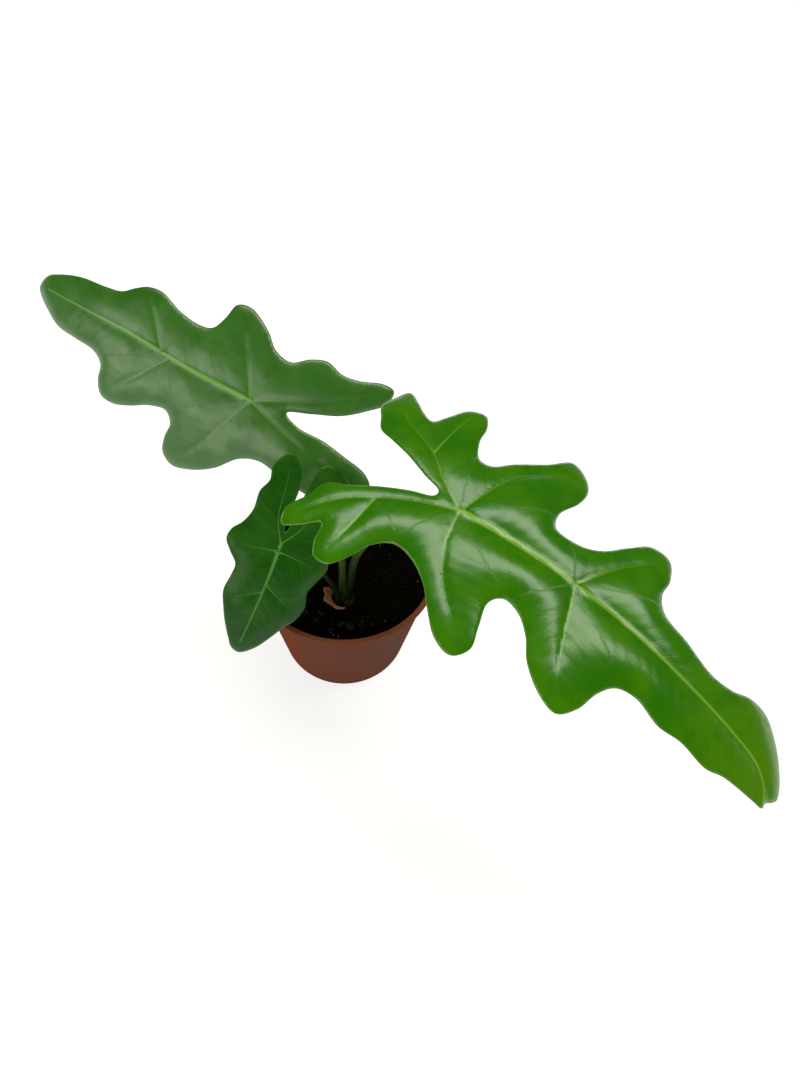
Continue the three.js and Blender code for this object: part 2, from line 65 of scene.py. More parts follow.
# The pot as the frame has it. The darkening inside ends a little over the mix, and the rim's band of painted
# highlight lies between two depths under its top.
POT = Values(
    height=92, rim_radius=60, base_radius=44, wall=1.6, lip_width=2.6, lip_depth=3.4, foot_width=3.5,
    channel_rise=2.5, centre_radius=17, slope=2, bevel=0.6, foot_rise=2.5, lip_taper=0.2,
    lip_roll=(1, 2.4), rounding=0.9, sides=192, drain_holes=8, drain_radius=4, drain_ring=29,
    drill_sides=32, drill_depth=20, stain_over=2, rim_band=(1.3, 0.4),
)
# Pot colours: painted warm reflected light on the left side, a painted grey sheen on the right, a painted
# highlight on the rim's band, and a darkening inside towards the mix.
POT_COLOURS = Values(
    dim=(0.140, 0.052, 0.034), body=(0.150, 0.056, 0.037), warm=(0.215, 0.045, 0.014),
    dusty=(0.150, 0.078, 0.060), speck=(0.20, 0.10, 0.07), rim=(0.24, 0.070, 0.036),
    stain=(0.004, 0.003, 0.002),
)

# The potting mix: level, lumps and hollows as the frame has them, then its gap to the pot, the bevels at
# its edge and foot, and its fine grain.
MIX = Values(
    level=81.5, lump=2.2, lumps=70, hollows=0.4, narrowest=3.5, widening=5, seed=7, gap=0.2,
    edge_drop=2, foot_bevel=(1, 2), grain=0.8, grain_size=3, grain_layers=4, rings=70, sides=200,
)
# The frame draws its random numbers with these.
RANDOM = Values(factor=16807, modulus=2147483647)

# Crumbs, tufts, chips and grains are dented balls. Dents and lifts are shares of the radius, and a larger
# rarity leaves fewer large crumbs.
LUMPS = Values(dent=0.35, dent_rate=1.3, dent_shift=7.1, lift=0.3, subdivisions=2)
CRUMBS = Values(count=1500, smallest=0.35, largest=2.4, rarity=4, lift=0.25, gap=0.5, seed=21)
TUFTS = Values(count=220, smallest=0.4, largest=1.1, seed=5)
# Places, from the pot's middle, and radii of moss cushions, bark chips and pale grains.
MOSS = [
    (-20, -36, 2.2), (-13, -41, 2.4), (-10, -35, 1.6), (-5, -40, 2.6), (-2, -46, 2), (3, -41, 1.6),
    (9, -42, 2.4), (14.5, -38, 2.4),
]
CHIPS = [(29.8, -36.4, 1.5), (22.6, -38.3, 0.9), (21, -19.7, 0.7), (47.9, -3.3, 1.1), (27.8, 15.6, 0.8)]
GRAINS = [(-0.4, -49, 0.7), (2.6, -49.6, 0.8), (3.4, -42, 0.6), (-6, -38, 0.5), (20.4, 22, 0.7)]

# Thin root fibres, each a curve through a few points.
FIBRES = Values(
    count=26, longest=9, shortest_share=0.4, points=5, radius=0.16, lift=0.3, step=0.6, sides=6, seed=5,
)

# Earth and bark: the dark colour, the light one, and the size of the grains.
EARTHS = {
    # The mix and its crumbs are near-black: dark earth, darkened further as painted shade for the shade under
    # the leaves.
    "shaded_mix_earth": ((0.002, 0.0015, 0.0008), (0.007, 0.005, 0.003), 1.2),
    "shaded_crumb_earth": ((0.002, 0.0015, 0.001), (0.014, 0.010, 0.006), 1),
    "moss_green": ((0.012, 0.015, 0.004), (0.040, 0.046, 0.014), 0.9),
    "bark_tan": ((0.06, 0.035, 0.015), (0.20, 0.12, 0.05), 0.8),
    "pale_grain": ((0.10, 0.13, 0.04), (0.22, 0.26, 0.10), 0.5),
    "root_fibre": ((0.015, 0.010, 0.005), (0.05, 0.030, 0.015), 1),
    "stem_bark": ((0.03, 0.03, 0.01), (0.07, 0.07, 0.025), 1.5),
}

# The stem, in shares of its radius and height. Its rings turn by so many radians for each mm of height.
STEM = Values(
    centre=(2.6, -22), radius=7.4, bottom=58, top=84, cap=0.6, foot_share=0.55, widening=2.2,
    top_share=0.65, shoulder_from=0.85, ring_depth=0.03, ring_turn=1.1, steps=40, sides=64,
)

# The sheath reaches round the stem from its start to its end angle. Its torn edge has waves, fallen
# corners and frays, and rates say how many frays and creases fit on it.
SHEATH = Values(
    gap=0.4, wall=0.5, bottom=68, top=89.5, flare=5, flare_from=83.5, start=162, end=282,
    wave=1.2, wave_turn=17, corner_drop=3, fray=0.5, fray_rate=30, crease=0.25, crease_rates=(14, 2),
    crease_seed=3, steps=60, rows=24,
)
SHEATH_COLOURS = Values(
    dark=(0.26, 0.085, 0.040), pale=(0.62, 0.25, 0.14), spot=(0.045, 0.02, 0.012),
)

# A stalk ends in a straight neck and a gap under the blade's skin. The groove along it is a share of its
# radius deep, and its width is in radians.
STALK = Values(foot=66, neck=7, top_gap=0.3, step=1.5, sides=28, groove=0.16, groove_width=0.45)
# The green that stalks turn higher up, above the painted shade of the darker ones.
STALK_TOP_COLOUR = (0.07, 0.15, 0.02)
# A direction that no tube sets out along.
ASIDE = (0.3, 0.9, 0.1)

# How finely curves and blades are meshed. Rails along the veins keep clear of the margin, and the grid of
# both, by so many grid steps.
CURVE_STEPS = 24
MARGIN_STEP = 1.2
GRID_STEP = 1.25
CLEAR = Values(rails=0.5, margin=0.55, veins=0.6)

# A blade's thickness in the frame, then half its thickness here, at the margin, and what that gains within
# a short reach. Ridges on top and ribs underneath are in shares of the vein's radius.
BLADE = Values(
    thickness=1, half=0.12, gain=0.22, gain_reach=2, midrib_ridge=0.35, lateral_ridge=0.1,
    rib=1.3, rib_width=1.1, rib_reach=5, vein_taper=0.7,
)
# Droop is the fall at this distance. It blends from left to right near the midrib.
DROOP = Values(span=100, blend=20)

# The swelling of the skin: the steps that settle it, how hard the veins hold it down, over what length they
# let go of it at their ends, and how near a corner is to be on a vein or on the margin.
SWELLING = Values(steps=400, grip=6, vein_end=22, on_vein=0.5, on_margin=0.01)

# Fine side veins leave each main vein at a slant, in mm along it for each mm away. They are thin lines, and
# furrows of this radius and least depth, that set in over ranges of distance from the line half way to the
# next vein, from their own vein, from the margin and from the vein's end.
SIDE_VEIN = Values(
    spacing=6.5, slant=0.75, line=0.22, radius=1.4, depth=0.045,
    half_way=(0, 3), vein=(0.5, 2), margin=(0.5, 5), end=(0, 4),
)
# Puckers come and go in patches of this size.
PATCHES = Values(size=9, seed=2, range=(-0.3, 0.4))
# The trough along each lateral vein, and the low waves. Both set in from the margin.
GROOVE = Values(depth=0.3, radius=1.5, margin=(2, 8))
RIPPLE = Values(size=13, margin=(0, 6))
# How far in from the margin its rounded edge rises.
SHOULDER_REACH = 4
# How far ahead of the junction the tip's own colour sets in and is full.
TIP_TINT = (110, 175)
# Keeps the grain beside one vein apart from the grain beside the next.
GRAIN_STEP = 40
# How pale the midrib is, what it gains near the stalk and within what reach, then the gain and reach at
# the start of a lateral vein, and how far before its end it fades.
PALE = Values(midrib=0.75, midrib_gain=0.25, midrib_reach=60, gain=0.5, reach=10, end=8)

# The leaves. The junction is where the stalk meets the blade, and heading, pitch and roll set the blade's
# flat plane. Margin and veins are points on it, ahead and to the left of the junction, and the first vein is
# the midrib. The crown is how much the skin swells, and the shoulder how high its edge is rounded. The pucker
# is how deep its furrows get between two places ahead, and the ripple how high its waves are.
FRONT_LEAF = Values(
    name="front_leaf",
    junction=(58, -48, 210),
    heading=-32, pitch=-5, roll=2,
    droop=Values(ahead=10, tip=9, tip_from=90, across=20, back_left=22, back_right=25),
    crown=0.036, shoulder=0, pucker=0.16, puckered=(85, 150), ripple=0.25,
    rib=1.1,
    vein_radius=(1.9, 0.75),
    margin=[
        # back left lobe and its side lobe
        (-10, 33), (-17, 44.5), (-20, 57), (-26.5, 66.5), (-34.5, 63.5), (-39.5, 50.5), (-43.5, 41.5),
        (-50.5, 44.5), (-58.5, 51), (-68.5, 57.5), (-71.5, 48), (-72.5, 37.5), (-66.5, 29), (-59.5, 20),
        (-50, 16.5), (-38, 12.5), (-23.5, 6.5),
        # notch behind the stalk
        (-13.5, 3), (-13.5, -0.5),
        # back right lobe and its side lobe
        (-23.5, -5), (-35.5, -11), (-49, -18.5), (-58.5, -23), (-60.5, -32.5), (-65, -42.5), (-60, -51),
        (-52.5, -47), (-45, -41.5), (-41.5, -50), (-36.5, -56), (-29.5, -56), (-24, -48.5), (-19.5, -38),
        (-12, -32), (-2, -33),
        # first and second right lobes
        (8.5, -38.5), (16.5, -46), (26.5, -54), (35.5, -55.5), (40.5, -48.5), (38, -39.5), (35, -28),
        (39, -22.5), (47, -23.5), (55, -29.5), (61.5, -38), (72.5, -45), (81.5, -46.5), (87.5, -39.5),
        (91, -28.5), (96, -21.5), (105, -19),
        # long front lobe
        (117.5, -21.5), (129, -19.5), (142.5, -20), (151.5, -16.5), (162, -14.5), (168.5, -13.5),
        (173, -12.5), (173.5, -9.5), (175.5, -7.5), (178, -4), (177.5, 0.5), (174.5, 7), (168, 16),
        (158.5, 23.5), (149, 23.5), (139, 18.5), (127.5, 16.5), (111.5, 20.5), (98, 24),
        # second and first left lobes
        (93, 31.5), (93, 42.5), (88, 54), (78.5, 53.5), (69.5, 42.5), (61, 30.5), (52, 24.5), (38.5, 24),
        (35.5, 32.5), (39.5, 46.5), (39.5, 57.5), (33.5, 67), (24.5, 71), (15.5, 57.5), (3.5, 43),
        (-3.5, 33.5),
    ],
    veins=[
        [(0, 0), (28, 2.5), (56, 4.5), (90.5, 4.5), (122, 3), (145, 2), (162, 0), (169, -5), (172.5, -11)],
        [(0, 0), (-16, 10), (-29, 21), (-51, 32.5), (-62, 41)],
        [(-29, 21), (-30.5, 41), (-30.5, 60.5)],
        [(0, 0), (-19.5, -9.5), (-41, -22.5), (-53, -34.5), (-59.5, -44.5)],
        [(-33.5, -18.5), (-33, -35), (-34, -50)],
        [(0, 0), (8.5, 34.5), (18.5, 49), (30.5, 59)],
        [(0, 0), (6, -21), (15, -33), (30.5, -47)],
        [(59, 5), (71.5, 28.5), (84, 46)],
        [(59, 5), (67.5, -18.5), (75.5, -39)],
    ],
    stalk=Values(
        foot=(5.6, -22.6),
        bends=[(6.5, -21.5, 102), (9, -20, 124), (18, -24, 150), (34, -34, 176), (49, -43, 193)],
        # Very dark tones: the stalk's green with painted shade, for the shade under the blades.
        radii=(2.6, 2.1), tones=((0.014, 0.027, 0.003), (0.007, 0.014, 0.002)),
    ),
    looks=Values(
        deep=(0.031, 0.195, 0.0005), fresh=(0.060, 0.245, 0.001), tip=(0.092, 0.270, 0.002),
        vein=(0.26, 0.50, 0.05), edge=(0.13, 0.31, 0.01), under=(0.13, 0.27, 0.07),
        roughness=(0.19, 0.24), gloss=0.5, fine_veins=0.1, laterals=0.3, blotches=0.7,
    ),
)

BACK_LEAF = Values(
    name="back_leaf",
    junction=(-59, 39, 182),
    heading=163, pitch=11, roll=-49,
    droop=Values(ahead=11, tip=10, tip_from=90, across=19, back_left=10, back_right=30),
    crown=0.013, shoulder=1.2, pucker=0, puckered=(0, 1), ripple=0.5,
    rib=1,
    vein_radius=(1.5, 0.6),
    margin=[
        # long front lobe, right edge
        (160.5, 0), (157, -8), (146.5, -13), (128.5, -18), (108.5, -20), (97.5, -22),
        # second and first right lobes
        (90, -27), (82.5, -31), (73, -32), (58.5, -27), (44.5, -25), (36.5, -27), (32, -35), (29, -44),
        (21, -46), (7, -39), (-2, -31), (-12, -29),
        # back right lobe
        (-21, -35), (-30, -38), (-40, -35), (-50, -36), (-62, -40), (-69, -39), (-69, -31), (-60, -22),
        (-49, -14), (-34, -8),
        # notch behind the stalk
        (-21, -2.5), (-30, 2),
        # back left lobe
        (-46, 3), (-60, 6), (-75, 10), (-81, 16), (-79, 25), (-70, 33), (-58, 36), (-42, 35), (-28, 32),
        (-17, 30),
        # first and second left lobes
        (-5.5, 34), (6.5, 46), (20, 54), (32.5, 57), (40, 52), (41.5, 42), (40.5, 34), (45.5, 28),
        (56.5, 30), (68.5, 36), (80, 40), (89.5, 39), (94, 32), (95.5, 22),
        # long front lobe, left edge
        (102.5, 17), (118.5, 16), (134.5, 15), (148.5, 9), (157, 4),
    ],
    veins=[
        [(0, 0), (47, -1), (76, -3), (110, -3), (150, -2)],
        [(0, 0), (-20, -9), (-35, -16), (-63, -34)],
        [(0, 0), (-20, 7), (-36, 12), (-74, 18)],
        [(0, 0), (15, -27), (26, -42)],
        [(0, 0), (19, 36), (32, 54)],
        [(59, -2), (69, -15), (80, -28)],
        [(53, -1), (70, 18), (89, 37)],
    ],
    stalk=Values(
        foot=(0.8, -18.9),
        bends=[(0.3, -16, 104), (-3, -2, 126), (-14, 20, 146), (-34, 38, 162)],
        radii=(2.4, 1.9), tones=((0.085, 0.155, 0.022), (0.035, 0.070, 0.009)),
    ),
    looks=Values(
        deep=(0.034, 0.165, 0.008), fresh=(0.056, 0.205, 0.018), tip=(0.050, 0.195, 0.014),
        vein=(0.20, 0.48, 0.05), edge=(0.05, 0.19, 0.012), under=(0.14, 0.27, 0.10),
        roughness=(0.30, 0.38), gloss=0.9, fine_veins=0.1, laterals=0.15, blotches=0.6,
    ),
)

SMALL_LEAF = Values(
    name="small_leaf",
    junction=(-31, -31, 145),
    heading=-109, pitch=-40, roll=-30,
    droop=Values(ahead=30, tip=0, tip_from=90, across=20, back_left=5, back_right=5),
    crown=0.030, shoulder=0.6, pucker=0.08, puckered=(0, 30), ripple=0.3,
    rib=0.8,
    vein_radius=(1.2, 0.45),
    margin=[
        # front lobe, right edge
        (69, 1), (67, -4), (61, -8), (52, -13), (43, -17), (34, -20), (24, -19), (18, -19), (12, -24),
        (6, -28), (0, -27),
        # back right lobe
        (-5, -23), (-13, -20), (-24, -20), (-31, -17), (-38, -18), (-45, -15), (-49, -11), (-46, -6),
        (-40, -1.5), (-28, -0.5), (-16, -1.5),
        # narrow slit behind the stalk
        (-7, 0), (-16, 2.5),
        # back left lobe
        (-28, 3), (-40, 4.5), (-47, 7), (-50, 13), (-47, 20), (-40, 27), (-28, 30), (-14, 28), (-2, 27),
        # front lobe, left edge
        (6, 30), (14, 27), (22, 24), (31, 26), (39, 24), (46, 19), (55, 14), (64, 8),
    ],
    veins=[
        [(0, 0), (30, 0), (62, -1)],
        [(0, 0), (-13, -6), (-32, -8), (-44, -10)],
        [(0, 0), (-12, 8), (-30, 11), (-46, 13)],
        [(4, 0), (7, -21)],
        [(4, 0), (7, 22)],
        [(29, 0), (37, -16)],
        [(24, 0), (36, 20)],
    ],
    stalk=Values(
        foot=(0.2, -25),
        bends=[(-3, -24.3, 95), (-8, -23.5, 105), (-18, -22.3, 124)],
        # Very dark tones: the stalk's green with painted shade, for the shade under the blades.
        radii=(1.7, 1.3), tones=((0.018, 0.034, 0.006), (0.010, 0.020, 0.003)),
    ),
    looks=Values(
        deep=(0.012, 0.090, 0.004), fresh=(0.026, 0.125, 0.009), tip=(0.020, 0.112, 0.009),
        vein=(0.12, 0.34, 0.06), edge=(0.05, 0.17, 0.02), under=(0.10, 0.22, 0.09),
        roughness=(0.24, 0.32), gloss=0.2, fine_veins=0.3, laterals=0.4, blotches=0.5,
    ),
)

LEAVES = [FRONT_LEAF, BACK_LEAF, SMALL_LEAF]


class Finish:
    """A material with one Principled shader, and short ways to add its nodes."""

    def __init__(self, name, **sockets):
        self.material = bpy.data.materials.new(name)
        self.material.use_nodes = True
        self.tree = self.material.node_tree
        self.shader = self.tree.nodes["Principled BSDF"]
        for socket, value in sockets.items():
            self.shader.inputs[socket.replace("_", " ")].default_value = value
        place = self.node("ShaderNodeTexCoord").outputs["Object"]
        self.place = self.scaled(place, (1 / MM, 1 / MM, 1 / MM))

    def node(self, kind, inputs=(), **settings):
        """Adds a node with these settings, and feeds its inputs by name or number."""
        node = self.tree.nodes.new(kind)
        for name, value in settings.items():
            setattr(node, name, value)
        for name, value in dict(inputs).items():
            self.feed(node.inputs[name], value)
        return node

    def feed(self, socket, value):
        """Links an output to a socket, or sets the socket to a plain value."""
        if isinstance(value, bpy.types.NodeSocket):
            self.tree.links.new(value, socket)
        else:
            socket.default_value = value

    def scaled(self, vector, factors):
        return self.node("ShaderNodeVectorMath", {0: vector, 1: factors}, operation="MULTIPLY").outputs[0]

    def attribute(self, name, output="Fac"):
        return self.node("ShaderNodeAttribute", attribute_name=name).outputs[output]

    def math(self, operation, first, second=0.0):
        return self.node("ShaderNodeMath", {0: first, 1: second}, operation=operation).outputs[0]

    def noise(self, size, detail=3, vector=None):
        """Noise from 0 to 1, with blotches of this size in mm."""
        inputs = {"Vector": vector or self.place, "Scale": 1 / size, "Detail": detail}
        return self.node("ShaderNodeTexNoise", inputs).outputs["Fac"]

    def ease(self, value, start, end, low=0.0, high=1.0):
        """Goes smoothly from low to high as the value goes from start to end."""
        inputs = {"Value": value, "From Min": start, "From Max": end, "To Min": low, "To Max": high}
        return self.node("ShaderNodeMapRange", inputs, interpolation_type="SMOOTHSTEP").outputs["Result"]

    def mix(self, share, first, second):
        """Colour between the first, at share 0, and the second, at share 1."""
        node = self.node("ShaderNodeMix", {"Factor": share}, data_type="RGBA")
        sockets = [socket for socket in node.inputs if socket.type == "RGBA"]
        for socket, colour in zip(sockets, (first, second)):
            self.feed(socket, colour if isinstance(colour, bpy.types.NodeSocket) else (*colour, 1))
        return next(socket for socket in node.outputs if socket.type == "RGBA")

    def coated(self, colour, *coats):
        """The colour under coats, each a share and a colour, one over the other."""
        for share, coat in coats:
            colour = self.mix(share, colour, coat)
        return colour

    def bump(self, height, depth, below=None):
        """Fine relief of this depth in mm, on top of an earlier one."""
        inputs = {"Height": height, "Distance": depth * MM}
        if below is not None:
            inputs["Normal"] = below
        return self.node("ShaderNodeBump", inputs).outputs["Normal"]

    def part(self, vector, axis):
        """One part of a vector: its X, Y or Z."""
        return self.node("ShaderNodeSeparateXYZ", {0: vector}).outputs[axis]

    def lines(self, vector, spacing, width):
        """Thin lines across the vector's first part: 1 on a line, 0 off it."""
        turns = self.math("MULTIPLY", self.part(vector, "X"), 1 / spacing)
        return self.ease(self.math("PINGPONG", turns, 0.5), 0, width / spacing, 1, 0)

    def done(self, colour, roughness, normal=None):
        self.feed(self.shader.inputs["Base Color"], colour)
        self.feed(self.shader.inputs["Roughness"], roughness)
        if normal is not None:
            self.feed(self.shader.inputs["Normal"], normal)
        return self.material


def leaf_finish(leaf):
    """Leaf skin: smooth green, pale veins and margin line, a paler and duller underside."""
    looks = leaf.looks
    finish = Finish(f"{leaf.name}_skin", Specular_IOR_Level=looks.gloss)
    flat = finish.attribute("flat", "Vector")
    grain = finish.attribute("grain", "Vector")
    under = finish.attribute("under")

    flecks = finish.ease(finish.noise(2.2, 4, flat), 0.55, 0.8, 0, 0.2)
    blotches = finish.math("MULTIPLY", finish.ease(finish.noise(11, 3, flat), 0.5, 0.72), looks.blotches)
    side_lines = finish.lines(grain, SIDE_VEIN.spacing, SIDE_VEIN.line)
    fine_veins = finish.math("MULTIPLY", side_lines, finish.attribute("open"))
    near_vein = finish.ease(finish.attribute("vein"), 0.5, 1.2, 0.9, 0)
    colour = finish.coated(
        finish.mix(finish.ease(finish.noise(24, 4, flat), 0.35, 0.65), looks.deep, looks.fresh),
        (finish.attribute("tip"), looks.tip), (flecks, looks.fresh), (blotches, looks.deep),
        (finish.math("MULTIPLY", fine_veins, looks.fine_veins), looks.vein),
        (finish.math("MULTIPLY", near_vein, finish.attribute("pale")), looks.vein),
        (finish.ease(finish.attribute("margin"), 0.1, 0.7, 0.7, 0), looks.edge),
        (under, looks.under),
    )
    roughness = finish.ease(finish.noise(7, 4, flat), 0.3, 0.7, *looks.roughness)
    roughness = finish.math("MAXIMUM", roughness, finish.math("MULTIPLY", under, 0.6))
    relief = finish.bump(finish.noise(1.3, 3, finish.scaled(grain, (1, 0.2, 1))), 0.05)
    relief = finish.bump(finish.noise(0.7, 2, flat), 0.045, relief)
    return finish.done(colour, roughness, relief)


def stalk_finish(leaf):
    """Stalk skin with fine streaks along its length, greener towards the top, where the painted shade of the
    darker stalks gives way.
    """
    finish = Finish(f"{leaf.name}_stalk_skin", Specular_IOR_Level=0.2)
    pale, dark = leaf.stalk.tones
    skin = finish.attribute("skin", "Vector")
    streaks = finish.noise(0.7, 4, finish.scaled(skin, (1, 1, 0.06)))
    blotches = finish.noise(5, 3, skin)
    colour = finish.coated(
        finish.mix(finish.ease(streaks, 0.35, 0.7), pale, dark),
        (finish.ease(blotches, 0.5, 0.75, 0, 0.4), dark),
        # Greener higher up: the painted shade in the dark tones stays near the foot.
        (finish.ease(finish.part(finish.place, "Z"), 105, 150, 0, 0.7), STALK_TOP_COLOUR),
    )
    return finish.done(colour, finish.ease(blotches, 0.3, 0.7, 0.35, 0.5), finish.bump(streaks, 0.12))


def pot_finish():
    """Satin brown-red plastic with painted light: warm reflected light on one side, a grey sheen on the other
    and a highlight on the rim's band. Darker inside towards the mix.
    """
    finish = Finish("pot_plastic", Specular_IOR_Level=0)
    across = finish.part(finish.place, "X")
    patchiness = finish.ease(finish.noise(6, 5), 0.1, 0.5, 0.7, 1)
    colour = finish.coated(
        finish.mix(finish.ease(finish.noise(34, 4), 0.3, 0.7), POT_COLOURS.dim, POT_COLOURS.body),
        # Painted warm reflected light on the pot's left side.
        (finish.ease(across, -45, -5, 0.6, 0), POT_COLOURS.warm),
        # Painted grey sheen on the pot's right side.
        (finish.ease(across, 5, 50, 0, 0.8), POT_COLOURS.dusty),
        (finish.ease(finish.noise(0.9, 2), 0.66, 0.8, 0, 0.2), POT_COLOURS.speck),
        # Painted highlight on the band under the rim's top.
        (finish.attribute("rim"), POT_COLOURS.rim),
        # Darker inside the pot, towards the mix, in patches.
        (finish.math("MULTIPLY", finish.attribute("stain"), patchiness), POT_COLOURS.stain),
    )
    roughness = finish.ease(finish.noise(11, 4), 0.3, 0.7, 0.34, 0.46)
    relief = finish.bump(finish.noise(0.35, 2), 0.01)
    relief = finish.bump(finish.noise(16, 2), 0.08, relief)
    return finish.done(colour, roughness, relief)


def earth_finish(name):
    """Damp crumbly earth or bark, with lighter grains."""
    dark, light, size = EARTHS[name]
    finish = Finish(name, Specular_IOR_Level=0)
    grains = finish.noise(size, 5)
    colour = finish.mix(finish.ease(grains, 0.42, 0.72), dark, light)
    roughness = finish.ease(finish.noise(9, 3), 0.3, 0.7, 0.75, 0.95)
    return finish.done(colour, roughness, finish.bump(grains, 0.6))


def papery_finish():
    """Dry brown sheath with long fibres."""
    finish = Finish("dry_sheath_skin", Specular_IOR_Level=0.2)
    fibre = finish.noise(0.5, 4, finish.scaled(finish.place, (1, 1, 0.08)))
    colour = finish.coated(
        finish.mix(finish.ease(fibre, 0.35, 0.65), SHEATH_COLOURS.dark, SHEATH_COLOURS.pale),
        (finish.ease(finish.noise(3, 3), 0.5, 0.75, 0, 0.6), SHEATH_COLOURS.spot),
    )
    return finish.done(colour, 0.75, finish.bump(fibre, 0.25))


def floor_finish():
    """Clean pale floor that stays nearly white, also in the plant's shade."""
    glow = {"Emission_Color": (1, 1, 1, 1), "Emission_Strength": FLOOR.glow}
    finish = Finish("pale_floor", Specular_IOR_Level=0, **glow)
    return finish.done(finish.mix(finish.noise(400, 2), *FLOOR.tones), 0.9)


def add_object(name, data):
    thing = bpy.data.objects.new(name, data)
    bpy.context.scene.collection.objects.link(thing)
    return thing


def add_mesh(name, vertices, faces, material, smooth=True):
    """Adds a mesh with its corners in metres."""
    mesh = bpy.data.meshes.new(name)
    mesh.from_pydata(np.asarray(vertices, float).tolist(), [], faces)
    mesh.polygons.foreach_set("use_smooth", [smooth] * len(mesh.polygons))
    mesh.materials.append(material)
    mesh.update()
    return add_object(name, mesh)


def join_frame(piece, slot, *nodes):
    """Fixes a piece to the frame, and hides the nodes that it stands for. Its material slot is not used."""
    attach(piece, "root")
    if nodes:
        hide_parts(*nodes)


def add_piece(name, vertices, faces, material, slot, *nodes):
    """Adds a mesh with its corners in mm, and fixes it to the frame."""
    join_frame(add_mesh(name, np.array(vertices) * MM, faces, material), slot, *nodes)


def set_values(piece, name, values):
    """Keeps a number, or a vector, for each vertex, for the material to read."""
    values = np.asarray(values, float)
    kind, field = ("FLOAT_VECTOR", "vector") if values.ndim == 2 else ("FLOAT", "value")
    attribute = piece.data.attributes.new(name, kind, "POINT")
    attribute.data.foreach_set(field, values.ravel())


def smoothstep(values, start, end):
    share = np.clip((values - start) / (end - start), 0, 1)
    return share * share * (3 - 2 * share)


def path_reach(points):
    """How far along a line of points each one lies."""
    return np.concatenate([[0], np.cumsum(np.linalg.norm(np.diff(points, axis=0), axis=1))])


def evenly(points, spacing):
    """Points in even steps of about the spacing along a line of points."""
    reach = path_reach(points)
    marks = np.linspace(0, reach[-1], max(2, round(reach[-1] / spacing) + 1))
    return np.stack([np.interp(marks, reach, column) for column in points.T], axis=1)


def curve_through(points, spacing, closed=False):
    """Centripetal Catmull-Rom curve through the points, in even steps of about the spacing."""
    points = np.array(points, float)
    if closed:
        padded = np.vstack([points[-1:], points, points[:2]])
    else:
        padded = np.vstack([2 * points[0] - points[1], points, 2 * points[-1] - points[-2]])
    knots = np.stack([padded[i:len(padded) - 3 + i] for i in range(4)])
    gaps = np.sqrt(np.linalg.norm(np.diff(knots, axis=0), axis=2))[..., None]
    before, between, after = knots[1] - knots[0], knots[2] - knots[1], knots[3] - knots[2]
    leave = between + gaps[1] * (before / gaps[0] - (knots[2] - knots[0]) / (gaps[0] + gaps[1]))
    arrive = between + gaps[1] * (after / gaps[2] - (knots[3] - knots[1]) / (gaps[1] + gaps[2]))
    t = np.linspace(0, 1, CURVE_STEPS, endpoint=False)[None, :, None]
    start, end = knots[1][:, None], knots[2][:, None]
    leave, arrive = leave[:, None], arrive[:, None]
    cubic = start + leave * t + (3 * (end - start) - 2 * leave - arrive) * t ** 2
    cubic = cubic + (leave + arrive - 2 * (end - start)) * t ** 3
    return evenly(np.vstack([cubic.reshape(-1, points.shape[1]), knots[2][-1]]), spacing)


def measure_to(line, spots):
    """For each spot, its distance to the line and its place along it."""
    distance = np.full(len(spots), np.inf)
    along = np.zeros(len(spots))
    reached = 0.0
    for start, end in zip(line[:-1], line[1:]):
        step = end - start
        length = np.hypot(*step)
        offset = spots - start
        share = np.clip(offset @ step / length ** 2, 0, 1)
        away = np.hypot(*(offset - share[:, None] * step).T)
        nearer = away < distance
        distance[nearer] = away[nearer]
        along[nearer] = reached + share[nearer] * length
        reached += length
    return distance, along


def inside(outline, spots):
    """Which spots lie within a closed outline."""
    within = np.zeros(len(spots), bool)
    for (u0, v0), (u1, v1) in zip(outline, np.roll(outline, -1, axis=0)):
        if v0 != v1:
            level = (v0 > spots[:, 1]) != (v1 > spots[:, 1])
            within ^= level & (spots[:, 0] < u0 + (u1 - u0) * (spots[:, 1] - v0) / (v1 - v0))
    return within


def noise_at(spots, size, seed):
    """Smooth noise, about -1 to 1, at flat spots."""
    return np.array([noise.noise(Vector((u / size, v / size, seed))) for u, v in spots])


def around(radius, angle, centre=(0, 0)):
    """The place at this radius and angle, in radians, round a centre."""
    return centre[0] + radius * math.cos(angle), centre[1] + radius * math.sin(angle)


def plane_axes(heading, pitch, roll):
    """The ahead and left directions of a plane, from where it points and how it rolls about that line."""
    heading, pitch, roll = map(math.radians, (heading, pitch, roll))
    ahead = Vector((*around(math.cos(pitch), heading), math.sin(pitch)))
    level = Vector((-math.sin(heading), math.cos(heading), 0))
    return ahead, Matrix.Rotation(roll, 3, ahead) @ level


def blade_axes(leaf):
    """Where the blade's flat plane lies: its junction, its ahead, left and up directions."""
    ahead, left = plane_axes(leaf.heading, leaf.pitch, leaf.roll)
    return [np.array(vector) for vector in (leaf.junction, ahead, left, ahead.cross(left))]


def closed(outline):
    """The outline with its first point again at its end."""
    return np.vstack([outline, outline[:1]])


